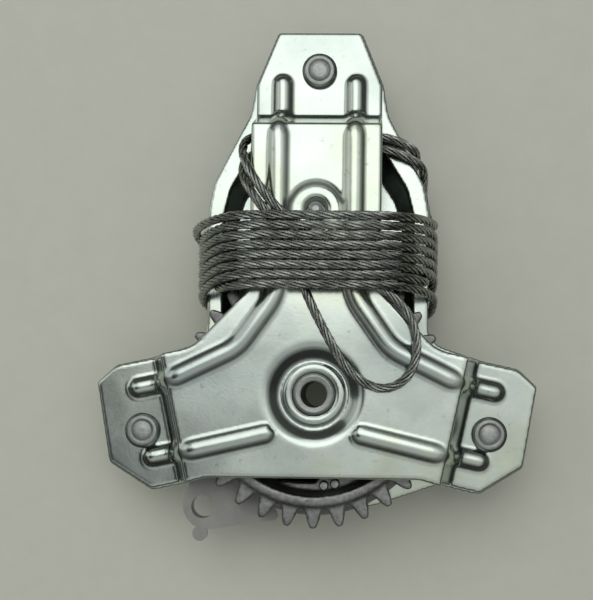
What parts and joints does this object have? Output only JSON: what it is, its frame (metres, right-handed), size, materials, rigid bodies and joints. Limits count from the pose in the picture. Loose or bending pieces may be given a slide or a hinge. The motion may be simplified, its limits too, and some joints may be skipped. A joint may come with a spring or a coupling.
{
  "type": "window regulator",
  "caption": "Manual cable window regulator drive: two pressed plates, toothed cable drum, crank pinion and spindle, studs, and its wire cable wound on for transport.",
  "frame": {"origin": "drum axis at the rear face of the mounting tabs", "axes": "+X right, +Y from drum to crank spindle, +Z from the mounting face to the front plate"},
  "size_m": [0.1114, 0.1296, 0.0398],
  "materials": {
    "zinc_plate": "bright zinc plated pressed steel",
    "cast_zinc": "dull die cast",
    "bright_steel": "plated steel",
    "dark_steel": "hardened steel",
    "spring_steel": "oiled spring steel",
    "bronze": "sintered bushing",
    "steel_rope": "stranded steel wire rope",
    "nylon": "translucent natural moulded plastic"
  },
  "bodies": {
    "frame": {"front_plate": "zinc_plate", "rear_plate": "zinc_plate", "mount_stud_top": "bright_steel", "mount_stud_left": "bright_steel", "mount_stud_right": "bright_steel", "drum_axle": "bright_steel", "drum_washer_front": "bright_steel", "drum_washer_rear": "bright_steel", "cable_guide": "nylon", "spindle_bush": "bronze", "brake_cup": "dark_steel", "cable_belt": "steel_rope", "cable_lead_left": "steel_rope", "cable_lead_right": "steel_rope", "cable_bight": "steel_rope"},
    "drum": {"drum_gear": "cast_zinc", "cable_drum": "cast_zinc", "drum_bush": "bronze", "drum_wraps": "steel_rope", "cable_nipple_a": "bright_steel", "cable_nipple_b": "bright_steel", "drum_rivet_1": "bright_steel", "drum_rivet_2": "bright_steel", "drum_rivet_3": "bright_steel", "drum_rivet_4": "bright_steel"},
    "crank": {"crank_spindle": "bright_steel", "pinion": "dark_steel", "brake_driver": "dark_steel", "brake_spring": "spring_steel", "spindle_clip": "bright_steel"}
  },
  "joints": [
    {"name": "drum_spin", "type": "hinge", "parent": "frame", "child": "drum", "pos_m": [0, 0, 0], "axis": [0, 0, 1], "continuous": true},
    {"name": "crank_spin", "type": "hinge", "parent": "frame", "child": "crank", "pos_m": [0, 0.045, 0], "axis": [0, 0, 1], "continuous": true}
  ],
  "couplings": [
    {"joint": "crank_spin", "follows": "drum_spin", "ratio": -2.2143}
  ]
}
